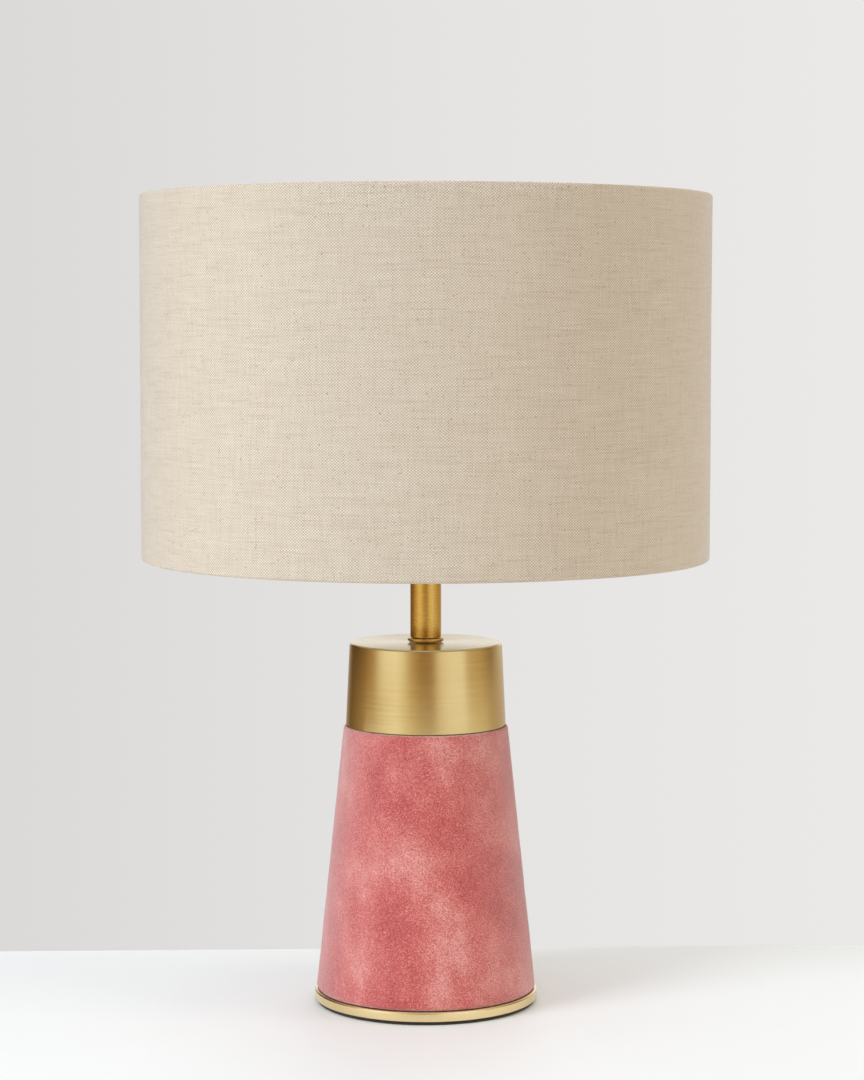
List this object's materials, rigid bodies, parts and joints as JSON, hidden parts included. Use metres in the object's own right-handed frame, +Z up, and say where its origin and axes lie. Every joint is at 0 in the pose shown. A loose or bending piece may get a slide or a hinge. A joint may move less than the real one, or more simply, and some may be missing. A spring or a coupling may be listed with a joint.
{
  "type": "table lamp",
  "caption": "Table lamp: velvet-covered cone base with brass cap, stem and foot, screw lampholder, slim bulb and a linen drum shade that turns and lifts off.",
  "frame": {"origin": "centre of the pad's underside, on the surface that the lamp stands on", "axes": "+Z up along the lamp's axis, +Y towards the back where the cord's inlet is, +X to the right seen from the front"},
  "size_m": [0.3, 0.3, 0.4275],
  "materials": {
    "velvet": "crushed velvet, coral pink, pale sheen at grazing angles",
    "linen": "natural linen, plain weave with slubs",
    "liner": "warm white laminated film, satin",
    "brass": "satin, fine brushing round the axis",
    "stem_brass": "satin, deeper golden tone",
    "plated_steel": "zinc plated",
    "white_wire": "white powder coat",
    "wood": "turned fibreboard, unfinished",
    "cast_iron": "as cast, dark",
    "felt": "dark brown felt",
    "holder_plastic": "cream moulded plastic, satin",
    "ceramic": "white glazed ceramic",
    "grommet_plastic": "dark brown moulded plastic",
    "glass": "clear, smooth",
    "bulb_metal": "nickel plated, satin",
    "filament": "yellow phosphor coating"
  },
  "bodies": {
    "root": {"base_pad": "felt", "foot_plate": "brass", "foot_screw_1": "plated_steel", "foot_screw_2": "plated_steel", "foot_screw_3": "plated_steel", "foot_screw_4": "plated_steel", "weight_screw": "plated_steel", "base_weight": "cast_iron", "cone_core": "wood", "core_top_disc": "wood", "velvet_cover": "velvet", "cable_grommet": "grommet_plastic", "brass_cap": "brass", "stem_collar": "stem_brass", "stem_tube": "stem_brass", "rod_washer": "plated_steel", "rod_nut": "plated_steel", "threaded_rod": "plated_steel", "holder_base": "holder_plastic", "holder_insert": "ceramic", "terminal_screw_live": "plated_steel", "terminal_screw_neutral": "plated_steel", "centre_contact": "brass", "side_contact": "brass", "holder_skirt": "holder_plastic", "thread_sleeve": "holder_plastic"},
    "shade_ring": {"shade_ring": "holder_plastic"},
    "shade": {"shade_hub": "white_wire", "shade_spoke_1": "white_wire", "shade_spoke_2": "white_wire", "shade_spoke_3": "white_wire", "shade_wire_lower": "white_wire", "shade_wire_upper": "white_wire", "shade_liner": "liner", "shade_linen": "linen"},
    "bulb": {"bulb_glass": "glass", "bulb_cap": "bulb_metal", "bulb_insulator": "ceramic", "bulb_tip": "bulb_metal", "bulb_mount": "glass", "bulb_filament_1": "filament", "bulb_filament_2": "filament", "bulb_filament_3": "filament", "bulb_filament_4": "filament"}
  },
  "joints": [
    {"name": "shade_ring_lift", "type": "slide", "parent": "root", "child": "shade_ring", "axis": [0, 0, 1], "range_m": [0, 0.15]},
    {"name": "shade_turn", "type": "hinge", "parent": "shade_ring", "child": "shade", "pos_m": [0, 0, 0.2733], "axis": [0, 0, 1], "continuous": true},
    {"name": "bulb_out", "type": "slide", "parent": "root", "child": "bulb", "axis": [0, 0, 1], "range_m": [0, 0.2]}
  ]
}
